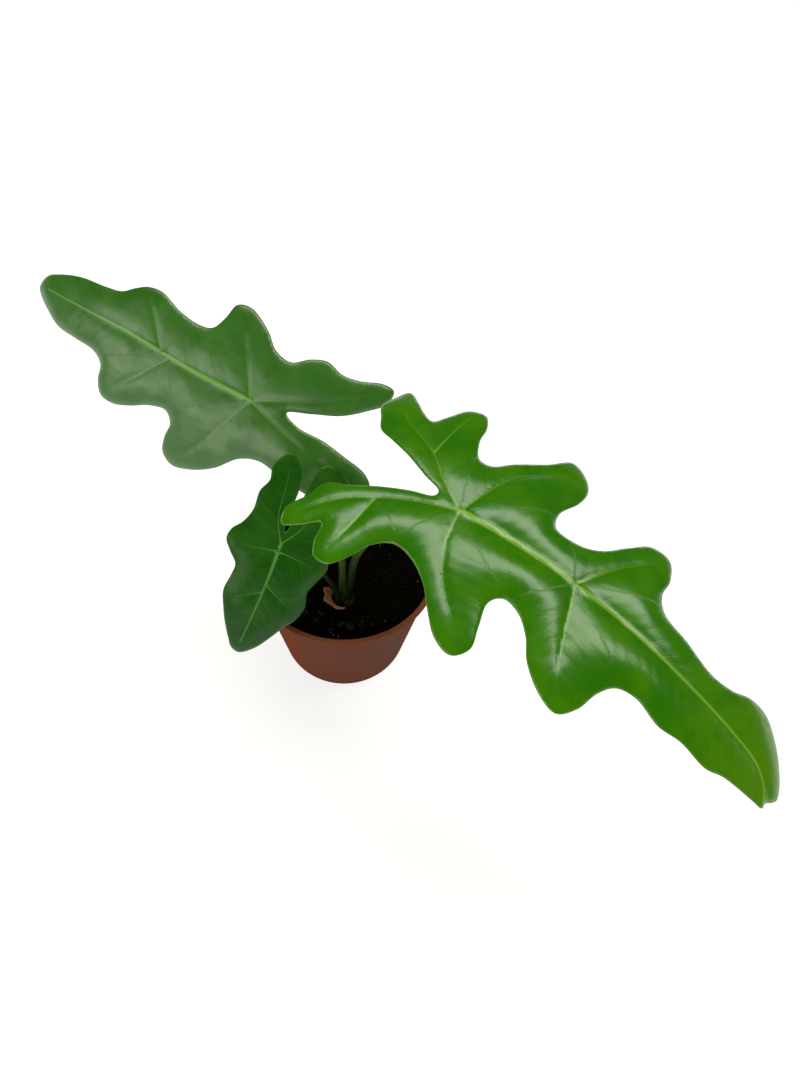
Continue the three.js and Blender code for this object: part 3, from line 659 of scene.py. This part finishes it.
def flat_mesh(outline, veins):
    """Triangles over the flat blade: margin, rails along the veins, and an even grid between."""
    rails = np.vstack(veins)
    rails = rails[inside(outline, rails)]
    low, high = outline.min(axis=0), outline.max(axis=0)
    columns = np.arange(low[0], high[0], GRID_STEP)
    rows = np.arange(low[1], high[1], GRID_STEP * math.sqrt(3) / 2)
    u, v = np.meshgrid(columns, rows)
    u[1::2] += GRID_STEP / 2
    grid = np.stack([u.ravel(), v.ravel()], axis=1)
    grid = grid[inside(outline, grid)]
    loop = closed(outline)
    rails = rails[measure_to(loop, rails)[0] > CLEAR.rails * GRID_STEP]
    clear_of_margin = measure_to(loop, grid)[0] > CLEAR.margin * GRID_STEP
    to_veins = np.min([measure_to(vein, grid)[0] for vein in veins], axis=0)
    grid = grid[clear_of_margin & (to_veins > CLEAR.veins * GRID_STEP)]
    spots = np.vstack([outline, rails, grid])
    count = len(outline)
    edges = [(i, (i + 1) % count) for i in range(count)]
    result = delaunay_2d_cdt([Vector(spot) for spot in spots], edges, [], 1, 1e-6)
    flat = np.array([tuple(vertex) for vertex in result[0]])
    sources = {source: i for i, found in enumerate(result[3]) for source in found}
    rim = [sources[i] for i in range(count)]
    return flat, [tuple(face) for face in result[2]], rim


def droop_at(leaf, u, v):
    """Height of the bent blade over its own flat plane."""
    droop = leaf.droop
    left_share = smoothstep(v, -DROOP.blend, DROOP.blend)
    back = droop.back_right + (droop.back_left - droop.back_right) * left_share
    fall = droop.ahead * np.maximum(u, 0) ** 2 + droop.across * v ** 2
    fall = fall + droop.tip * np.maximum(u - droop.tip_from, 0) ** 2 + back * np.minimum(u, 0) ** 2
    return -fall / DROOP.span ** 2


def slant_place(spots):
    """Place along the vein at which a fine side vein through this spot leaves it."""
    return spots.along - SIDE_VEIN.slant * spots.near


def open_skin(spots):
    """Where fine side veins run: 1 between the main veins, 0 at them, at the margin and half way."""
    clear = smoothstep(spots.second - spots.near, *SIDE_VEIN.half_way)
    clear = clear * smoothstep(spots.near, *SIDE_VEIN.vein)
    clear = clear * smoothstep(spots.margin, *SIDE_VEIN.margin)
    return clear * smoothstep(spots.left, *SIDE_VEIN.end)


def side_veins(spots):
    """Fine side veins: 1 on a vein, 0 away from it."""
    phase = slant_place(spots) / SIDE_VEIN.spacing
    offset = (phase - np.round(phase)) * SIDE_VEIN.spacing / math.hypot(1, SIDE_VEIN.slant)
    return np.exp(-(offset / SIDE_VEIN.radius) ** 2) * open_skin(spots)


def survey(leaf):
    """Flat triangles of the blade, and for each of their corners where it lies among margin and veins."""
    outline = curve_through(leaf.margin, MARGIN_STEP, closed=True)[:-1]
    veins = [curve_through(vein, GRID_STEP) for vein in leaf.veins]
    flat, triangles, rim = flat_mesh(outline, veins)
    distances, alongs = map(np.array, zip(*(measure_to(vein, flat) for vein in veins)))
    order = np.argsort(distances, axis=0)
    columns = np.arange(len(flat))
    nearest = order[0]
    along = alongs[nearest, columns]
    length = alongs.max(axis=1)[nearest]

    # Each vein's radius shrinks from its start to its end.
    thick, thin = leaf.vein_radius
    return Values(
        outline=outline, flat=flat, triangles=triangles, rim=rim,
        margin=measure_to(closed(outline), flat)[0],
        near=distances[nearest, columns],
        second=distances[order[1], columns],
        along=along,
        left=length - along,
        nearest=nearest,
        vein_radius=np.where(nearest == 0, thick, thin) * (1 - BLADE.vein_taper * along / length),
    )


def swelling(spots):
    """Height of a skin held at its margin and blown up evenly. Veins let go of it towards their ends."""
    triangles = np.array(spots.triangles)
    edges = np.vstack([triangles[:, [0, 1]], triangles[:, [1, 2]], triangles[:, [2, 0]]])
    here, there = np.unique(np.sort(edges, axis=1), axis=0).T
    count = len(spots.flat)
    neighbours = np.bincount(here, minlength=count) + np.bincount(there, minlength=count)
    free = spots.margin > SWELLING.on_margin
    on_vein = spots.near < SWELLING.on_vein
    grip = SWELLING.grip * on_vein * smoothstep(spots.left, 0, SWELLING.vein_end) ** 2

    def stiffness(height):
        pull = np.bincount(here, height[there], count) + np.bincount(there, height[here], count)
        return free * ((neighbours + grip) * height - pull)

    # Conjugate gradients, until the pull of the neighbours balances the pressure at each corner.
    height = np.zeros(count)
    error = free * neighbours * GRID_STEP ** 2 / 4
    direction = error.copy()
    size = error @ error
    for _ in range(SWELLING.steps):
        push = stiffness(direction)
        step = size / (direction @ push)
        height += step * direction
        error -= step * push
        last_size, size = size, error @ error
        direction = error + size / last_size * direction
    return height


def middle_height(leaf, spots):
    """Height of the middle of the blade: drooping, and swollen between its veins and the margin."""
    ripple = leaf.ripple * noise_at(spots.flat, RIPPLE.size, leaf.heading)
    ripple = ripple * smoothstep(spots.near, 0, RIPPLE.size / 2) * smoothstep(spots.margin, *RIPPLE.margin)
    groove = GROOVE.depth * np.exp(-(spots.near / GROOVE.radius) ** 2) * (spots.nearest > 0)
    groove = groove * smoothstep(spots.margin, *GROOVE.margin)
    shoulder = leaf.shoulder * (1 - np.exp(-spots.margin / SHOULDER_REACH))
    return droop_at(leaf, *spots.flat.T) + leaf.crown * swelling(spots) + shoulder + ripple - groove


def paleness(leaf, spots):
    """How much of the pale vein colour each vein shows."""
    midrib = PALE.midrib + PALE.midrib_gain * np.exp(-spots.along / PALE.midrib_reach)
    lateral = leaf.looks.laterals * smoothstep(spots.left, 0, PALE.end)
    lateral = lateral + PALE.gain * np.exp(-spots.along / PALE.reach)
    return np.where(spots.nearest == 0, midrib, lateral)


def blade(leaf):
    """Thin bent blade with a low ridge along each vein on top and a strong rib underneath."""
    spots = survey(leaf)
    middle = middle_height(leaf, spots)
    vein = spots.near / spots.vein_radius
    half = BLADE.half + BLADE.gain * smoothstep(spots.margin, 0, BLADE.gain_reach)
    ridge = np.where(spots.nearest == 0, BLADE.midrib_ridge, BLADE.lateral_ridge)
    ridge = ridge * spots.vein_radius * np.exp(-vein ** 2)
    rib = leaf.rib * BLADE.rib * spots.vein_radius * np.exp(-(vein / BLADE.rib_width) ** 2)
    rib = rib * smoothstep(spots.margin, 0, BLADE.rib_reach)
    origin, ahead, left, up = blade_axes(leaf)
    plane = origin + spots.flat[:, :1] * ahead + spots.flat[:, 1:] * left
    patches = smoothstep(noise_at(spots.flat, PATCHES.size, PATCHES.seed), *PATCHES.range)
    pucker = leaf.pucker * patches * smoothstep(spots.flat[:, 0], *leaf.puckered)
    sunken = side_veins(spots) * (SIDE_VEIN.depth + pucker)
    top = plane + (middle + half + ridge - sunken)[:, None] * up
    bottom = plane + (middle - half - rib - sunken)[:, None] * up

    count = len(spots.flat)
    faces = spots.triangles + [(count + a, count + c, count + b) for a, b, c in spots.triangles]
    u, v = spots.outline.T
    turn = np.sum(u * np.roll(v, -1) - np.roll(u, -1) * v)
    ring = spots.rim if turn > 0 else spots.rim[::-1]
    faces += [(here, count + here, count + there, there) for here, there in zip(ring, ring[1:] + ring[:1])]
    piece = add_mesh(f"{leaf.name}_skin", np.vstack([top, bottom]) * MM, faces, leaf_finish(leaf))
    set_values(piece, "under", np.repeat([0, 1], count))
    both_sides = {
        "flat": np.column_stack([spots.flat, np.zeros(count)]),
        "grain": np.column_stack([slant_place(spots), spots.near, GRAIN_STEP * spots.nearest]),
        "margin": spots.margin,
        "vein": vein,
        "open": open_skin(spots),
        "pale": paleness(leaf, spots),
        "tip": smoothstep(spots.flat[:, 0], *TIP_TINT),
    }
    for name, values in both_sides.items():
        set_values(piece, name, np.concatenate([values, values]))
    join_frame(piece, leaf.name, f"{leaf.name}_blade")


def ring_angles(sides):
    return np.arange(sides) * FULL_TURN / sides


def tube_faces(rings, sides):
    """Faces of a tube from its rings of corners, closed at both ends."""
    faces = []
    last = (rings - 1) * sides
    for low in range(0, last, sides):
        for here in range(sides):
            there = (here + 1) % sides
            faces.append((low + here, low + there, low + sides + there, low + sides + here))
    return faces + [tuple(range(sides))[::-1], tuple(range(last, last + sides))]


def tube(path, radii, sides, groove=0.0):
    """Round tube along a path, closed at both ends, with a shallow groove along one side."""
    tangents = np.gradient(path, axis=0)
    tangents /= np.linalg.norm(tangents, axis=1)[:, None]
    angles = ring_angles(sides)
    spokes = np.column_stack([np.cos(angles), np.sin(angles)])
    section = 1 - groove * np.exp(-((angles - math.pi) / STALK.groove_width) ** 2)
    normal = np.cross(tangents[0], ASIDE)
    rings, skin = [], []
    for centre, tangent, radius, height in zip(path, tangents, radii, path_reach(path)):
        normal = normal - tangent * (normal @ tangent)
        normal /= np.linalg.norm(normal)
        binormal = np.cross(tangent, normal)
        rings.append(centre + radius * section[:, None] * (spokes @ [normal, binormal]))
        skin.append(np.column_stack([radius * spokes, np.full(sides, height)]))
    return np.vstack(rings), tube_faces(len(path), sides), np.vstack(skin)


def stalk(leaf):
    """Stalk from the stem up into the blade's underside."""
    origin, _, _, up = blade_axes(leaf)
    below = BLADE.thickness / 2 + leaf.rib + STALK.neck
    points = [
        (*leaf.stalk.foot, STALK.foot),
        (*leaf.stalk.foot, STEM.top),
        *leaf.stalk.bends,
        origin - below * up,
        origin + (leaf.shoulder - STALK.top_gap) * up,
    ]
    path = curve_through(points, STALK.step)
    foot_radius, top_radius = leaf.stalk.radii
    radii = foot_radius + (top_radius - foot_radius) * np.sqrt(np.linspace(0, 1, len(path)))
    vertices, faces, skin = tube(path, radii, STALK.sides, STALK.groove)
    piece = add_mesh(f"{leaf.name}_stalk_skin", vertices * MM, faces, stalk_finish(leaf))
    set_values(piece, "skin", skin)
    join_frame(piece, "leaf_stalk", f"{leaf.name}_stalk")


def turned_faces(rings, sides):
    """Faces of a turned body: its bottom and top points come first, then its rings from the bottom up."""
    faces = []
    last = 2 + (rings - 1) * sides
    for here in range(sides):
        there = (here + 1) % sides
        faces.append((0, 2 + there, 2 + here))
        for low in range(2, last, sides):
            faces.append((low + here, low + there, low + sides + there, low + sides + here))
        faces.append((1, last + here, last + there))
    return faces


def turned(profile, sides, centre=(0, 0)):
    """Vertices and faces of a turned body from a profile of (radius, height) points, axis to axis."""
    angles = ring_angles(sides)
    vertices = [(*centre, profile[0][1]), (*centre, profile[-1][1])]
    for radius, height in profile[1:-1]:
        x, y = centre[0] + radius * np.cos(angles), centre[1] + radius * np.sin(angles)
        vertices.extend(zip(x, y, np.full(sides, height)))
    return vertices, turned_faces(len(profile) - 2, sides)


def wall_radius(height):
    """Radius of the pot's outer wall at a height."""
    top_radius = POT.rim_radius - POT.lip_width
    return POT.base_radius + (top_radius - POT.base_radius) * height / POT.height


def rounded(corners, radius, steps=4):
    """The profile with each inner corner replaced by a small curve of about this radius."""
    corners = [np.array(corner, float) for corner in corners]
    profile = [corners[0]]
    for before, corner, after in zip(corners, corners[1:], corners[2:]):
        # A curve takes less than half of each side, so that it never meets the next one.
        edges = [before - corner, after - corner]
        reach = min(radius, *(np.linalg.norm(edge) / 2.2 for edge in edges))
        start, end = (corner + edge * reach / np.linalg.norm(edge) for edge in edges)
        for share in np.linspace(0, 1, steps):
            profile.append((1 - share) ** 2 * start + 2 * share * (1 - share) * corner + share ** 2 * end)
    profile.append(corners[-1])
    return profile


def drill_holes(piece):
    """Cuts the drain holes through the pot's floor."""
    drill = bmesh.new()
    radius = POT.drain_radius * MM
    for hole in range(POT.drain_holes):
        x, y = around(POT.drain_ring * MM, (hole + 0.5) * FULL_TURN / POT.drain_holes)
        bmesh.ops.create_cone(
            drill, cap_ends=True, segments=POT.drill_sides, radius1=radius, radius2=radius,
            depth=POT.drill_depth * MM, matrix=Matrix.Translation((x, y, 0)),
        )
    cutter_mesh = bpy.data.meshes.new("drill")
    drill.to_mesh(cutter_mesh)
    drill.free()
    cutter = add_object("drill", cutter_mesh)
    modifier = piece.modifiers.new("holes", "BOOLEAN")
    modifier.object = cutter
    modifier.solver = "EXACT"
    bpy.context.view_layer.update()
    cut = bpy.data.meshes.new_from_object(piece.evaluated_get(bpy.context.evaluated_depsgraph_get()))
    piece.modifiers.clear()
    piece.data = cut
    bpy.data.objects.remove(cutter)


def pot(material):
    """Thin-walled turned pot with a rolled lip, a raised ring underneath and drain holes."""
    rise, wall, height, bevel = POT.channel_rise, POT.wall, POT.height, POT.bevel
    floor = rise + wall
    lip_foot = height - POT.lip_depth
    foot = POT.base_radius - POT.foot_width
    centre = POT.centre_radius
    inner = wall_radius(height) - wall
    roll_width, roll_depth = POT.lip_roll
    corners = [
        (0, 0), (centre, 0), (centre + POT.slope, rise), (foot - POT.slope, rise), (foot, 0),
        (POT.base_radius - bevel, 0), (wall_radius(POT.foot_rise), POT.foot_rise),
        (wall_radius(lip_foot), lip_foot), (POT.rim_radius - POT.lip_taper, lip_foot + bevel),
        (POT.rim_radius, height), (inner + roll_width, height), (inner, height - roll_depth),
        (wall_radius(floor) - wall, floor), (centre + POT.slope - bevel, floor), (centre - bevel, wall),
        (0, wall),
    ]
    vertices, faces = turned(rounded(corners, POT.rounding), POT.sides)
    piece = add_mesh("pot_shell", np.array(vertices) * MM, faces, material)
    drill_holes(piece)
    x, y, z = np.array([vertex.co for vertex in piece.data.vertices]).T / MM
    is_inside = np.hypot(x, y) < wall_radius(z) - wall / 2
    highlight_foot, highlight_top = (height - depth for depth in POT.rim_band)
    # Darker inside the pot, from its top down to the mix.
    set_values(piece, "stain", is_inside * smoothstep(z, height, MIX.level + POT.stain_over))
    # Painted highlight on the outside band under the rim's top.
    set_values(piece, "rim", ~is_inside * smoothstep(z, highlight_foot, highlight_top))
    join_frame(piece, "pot", "pot")


def random_source(seed):
    """The frame's own seeded numbers from 0 to 1."""
    state = seed
    while True:
        state = state * RANDOM.factor % RANDOM.modulus
        yield state / RANDOM.modulus


def mix_relief():
    """Lumps and hollows of the mix's surface, as in the frame: place, height and width of each."""
    numbers = random_source(MIX.seed)
    reach = wall_radius(MIX.level)
    bumps = []
    for _ in range(MIX.lumps):
        distance = reach * math.sqrt(next(numbers))
        spot = around(distance, FULL_TURN * next(numbers))
        height = MIX.lump * (next(numbers) - MIX.hollows)
        bumps.append((*spot, height, MIX.narrowest + MIX.widening * next(numbers)))
    return bumps


MIX_BUMPS = mix_relief()


def on_mix(x, y, lift=0.0):
    """The spot on the mix's surface at a place, or a little above it."""
    height = MIX.level
    for bump_x, bump_y, rise, width in MIX_BUMPS:
        height += rise * math.exp(-((x - bump_x) ** 2 + (y - bump_y) ** 2) / width ** 2)
    grain = noise.fractal(Vector((x / MIX.grain_size, y / MIX.grain_size, 0.5)), 1, 2, MIX.grain_layers)
    return x, y, height + MIX.grain * grain + lift


def mix_body(material):
    """The body of the mix, with its rough top."""
    wall = POT.wall + MIX.gap
    floor = POT.channel_rise + wall
    bevel_width, bevel_rise = MIX.foot_bevel
    reach = wall_radius(MIX.level - MIX.edge_drop) - wall
    angles = ring_angles(MIX.sides)
    levels = [
        (wall_radius(floor) - wall - bevel_width, floor),
        (wall_radius(floor + bevel_rise) - wall, floor + bevel_rise),
    ]
    vertices = [(0, 0, floor), on_mix(0, 0)]
    for radius, height in levels:
        vertices += [(*around(radius, angle), height) for angle in angles]
    for ring in range(MIX.rings, 0, -1):
        vertices += [on_mix(*around(reach * ring / MIX.rings, angle)) for angle in angles]
    faces = turned_faces(MIX.rings + len(levels), MIX.sides)
    add_piece("mix_body", vertices, faces, material, "potting_mix", "potting_mix")


def lump_shape():
    """Vertices and faces of a ball of radius 1."""
    ball = bmesh.new()
    bmesh.ops.create_icosphere(ball, subdivisions=LUMPS.subdivisions, radius=1)
    vertices = np.array([vertex.co for vertex in ball.verts])
    faces = [tuple(vertex.index for vertex in face.verts) for face in ball.faces]
    ball.free()
    return vertices, faces


def lumps(name, places, material, seed, flatness=(0.5, 1), lift=LUMPS.lift):
    """Rough lumps on the mix, each turned and dented its own way. A place is (x, y, radius)."""
    random = np.random.RandomState(seed)
    ball, ball_faces = lump_shape()
    vertices, faces = [], []
    for index, (x, y, radius) in enumerate(places):
        stretch = random.uniform(*flatness, 3)
        turn = np.array(Matrix.Rotation(random.uniform(0, FULL_TURN), 3, Vector(random.normal(size=3))))
        shift = index * LUMPS.dent_shift
        dents = np.array([noise.noise(Vector(point * LUMPS.dent_rate + shift)) for point in ball])
        lump = (ball * (1 + LUMPS.dent * dents)[:, None] * stretch) @ turn.T
        vertices.append(lump * radius + on_mix(x, y, lift * radius))
        start = len(ball) * index
        faces.extend(tuple(start + corner for corner in face) for face in ball_faces)
    add_piece(name, np.vstack(vertices), faces, material, "potting_mix")


def crumbs(material):
    """Loose crumbs that lie on the mix, more small ones than large ones."""
    random = np.random.RandomState(CRUMBS.seed)
    reach = wall_radius(MIX.level) - POT.wall - CRUMBS.largest - CRUMBS.gap
    shares = random.uniform(size=CRUMBS.count) ** CRUMBS.rarity
    distances = reach * np.sqrt(random.uniform(size=CRUMBS.count))
    angles = random.uniform(0, FULL_TURN, CRUMBS.count)
    places = [
        (*around(distance, angle), CRUMBS.smallest + (CRUMBS.largest - CRUMBS.smallest) * share)
        for distance, angle, share in zip(distances, angles, shares)
    ]
    lumps("mix_crumbs", places, material, CRUMBS.seed + 1, lift=CRUMBS.lift)


def moss(material):
    """Low cushions, each made of many small tufts."""
    random = np.random.RandomState(TUFTS.seed)
    places = []
    for _ in range(TUFTS.count):
        x, y, radius = MOSS[random.randint(len(MOSS))]
        away = radius * math.sqrt(random.uniform())
        spot = around(away, random.uniform(0, FULL_TURN), (x, y))
        places.append((*spot, random.uniform(TUFTS.smallest, TUFTS.largest)))
    lumps("mix_moss", places, material, seed=31)


def fibres(material):
    """Thin root fibres that lie on the mix."""
    random = np.random.RandomState(FIBRES.seed)
    reach = wall_radius(MIX.level) - POT.wall - FIBRES.longest
    vertices, faces = [], []
    count = 0
    for _ in range(FIBRES.count):
        away, angle, heading = reach * math.sqrt(random.uniform()), *random.uniform(0, FULL_TURN, 2)
        length = random.uniform(FIBRES.shortest_share, 1) * FIBRES.longest
        turn = random.uniform(-1, 1)
        spot = around(away, angle)
        points = []
        for _ in range(FIBRES.points):
            points.append(on_mix(*spot, FIBRES.lift))
            spot = around(length / (FIBRES.points - 1), heading, spot)
            heading += turn / 2
        path = curve_through(points, FIBRES.step)
        ring, skin_faces, _ = tube(path, np.full(len(path), FIBRES.radius), FIBRES.sides)
        vertices.append(ring)
        faces.extend(tuple(count + corner for corner in face) for face in skin_faces)
        count += len(ring)
    add_piece("mix_fibres", np.vstack(vertices), faces, material, "potting_mix")


def stem(material):
    """Short stem with the rings that old leaves left."""
    profile = [(0, STEM.bottom)]
    for share in np.linspace(0, 1, STEM.steps):
        height = STEM.bottom + (STEM.top - STEM.bottom) * share
        widened = math.sin(min(1, share * STEM.widening) * math.pi / 2)
        swell = STEM.foot_share + (1 - STEM.foot_share) * widened
        past = max(0, share - STEM.shoulder_from) / (1 - STEM.shoulder_from)
        shoulder = 1 - (1 - STEM.top_share) * past
        ringed = 1 - STEM.ring_depth * abs(math.sin(height * STEM.ring_turn))
        profile.append((STEM.radius * swell * shoulder * ringed, height))
    profile.append((0, STEM.top + STEM.cap))
    add_piece("stem_skin", *turned(profile, STEM.sides, STEM.centre), material, "stem", "stem")


def sheath(material):
    """Papery sheath that flares to a torn top edge."""
    inner = STEM.radius + SHEATH.gap
    rate_round, rate_up = SHEATH.crease_rates
    vertices = []
    for part in np.linspace(0, 1, SHEATH.steps):
        angle = math.radians(SHEATH.start + (SHEATH.end - SHEATH.start) * part)
        torn = SHEATH.wave * math.sin(part * SHEATH.wave_turn)
        torn -= SHEATH.corner_drop * (1 - math.sin(part * math.pi)) ** 2
        torn += SHEATH.fray * noise.noise(Vector((part * SHEATH.fray_rate, 0, 0)))
        inner_side, outer_side = [], []
        for row in np.linspace(0, 1, SHEATH.rows):
            height = SHEATH.bottom + (SHEATH.top + torn - SHEATH.bottom) * row
            lift = max(0, height - SHEATH.flare_from) / (SHEATH.top - SHEATH.flare_from)
            crease = noise.noise(Vector((part * rate_round, row * rate_up, SHEATH.crease_seed)))
            radius = inner + SHEATH.flare * lift + SHEATH.crease * crease
            inner_side.append((*around(radius, angle, STEM.centre), height))
            outer_side.append((*around(radius + SHEATH.wall, angle, STEM.centre), height))
        vertices += inner_side + outer_side[::-1]
    faces = tube_faces(SHEATH.steps, 2 * SHEATH.rows)
    add_piece("sheath_skin", vertices, faces, material, "sheath", "sheath")


def add_soft_box(name, settings):
    """A wide rectangular light that faces the plant from far away."""
    toward, across = plane_axes(settings.heading, settings.height, settings.turn)
    distance = LIGHT_DISTANCE * MM
    width, depth = (2 * distance * math.tan(math.radians(half)) for half in settings.half_angles)
    light = bpy.data.lights.new(name, "AREA")
    light.shape = "RECTANGLE"
    light.size, light.size_y = width, depth
    light.energy = settings.glow * math.pi * width * depth
    light.color = LIGHT_COLOUR
    turn = Matrix((across, toward.cross(across), toward)).transposed()
    spot = Vector(PLANT_CENTRE) * MM + toward * distance
    add_object(name, light).matrix_world = Matrix.Translation(spot) @ turn.to_4x4()


def add_room():
    """Even dim light from all round."""
    world = bpy.data.worlds.new("room")
    world.use_nodes = True
    background = world.node_tree.nodes["Background"]
    background.inputs["Color"].default_value = (1, 1, 1, 1)
    background.inputs["Strength"].default_value = ROOM_LIGHT
    bpy.context.scene.world = world


def add_floor():
    half = FLOOR.size * MM / 2
    corners = [(-half, -half, 0), (half, -half, 0), (half, half, 0), (-half, half, 0)]
    floor = add_mesh("floor", corners, [(0, 1, 2, 3)], floor_finish(), smooth=False)


def add_camera():
    data = bpy.data.cameras.new("camera")
    data.lens = CAMERA.lens
    data.sensor_width = CAMERA.sensor
    camera = add_object("camera", data)
    tilt = Matrix.Rotation(math.radians(90 - CAMERA.down), 4, "X")
    lean = Matrix.Rotation(math.radians(CAMERA.lean), 4, "Z")
    camera.matrix_world = Matrix.Translation(Vector(CAMERA.spot) * MM) @ tilt @ lean
    bpy.context.scene.camera = camera


add_camera()
add_soft_box("key_light", KEY_LIGHT)
add_soft_box("front_light", FRONT_LIGHT)
add_room()
add_floor()
bpy.context.scene.view_settings.view_transform = "Standard"

pot(pot_finish())
mix_body(earth_finish("shaded_mix_earth"))
crumbs(earth_finish("shaded_crumb_earth"))
moss(earth_finish("moss_green"))
lumps("mix_chips", CHIPS, earth_finish("bark_tan"), seed=41, flatness=(0.4, 1))
lumps("mix_grains", GRAINS, earth_finish("pale_grain"), seed=43, flatness=(0.6, 1))
fibres(earth_finish("root_fibre"))
for leaf in LEAVES:
    stalk(leaf)
    blade(leaf)
stem(earth_finish("stem_bark"))
sheath(papery_finish())
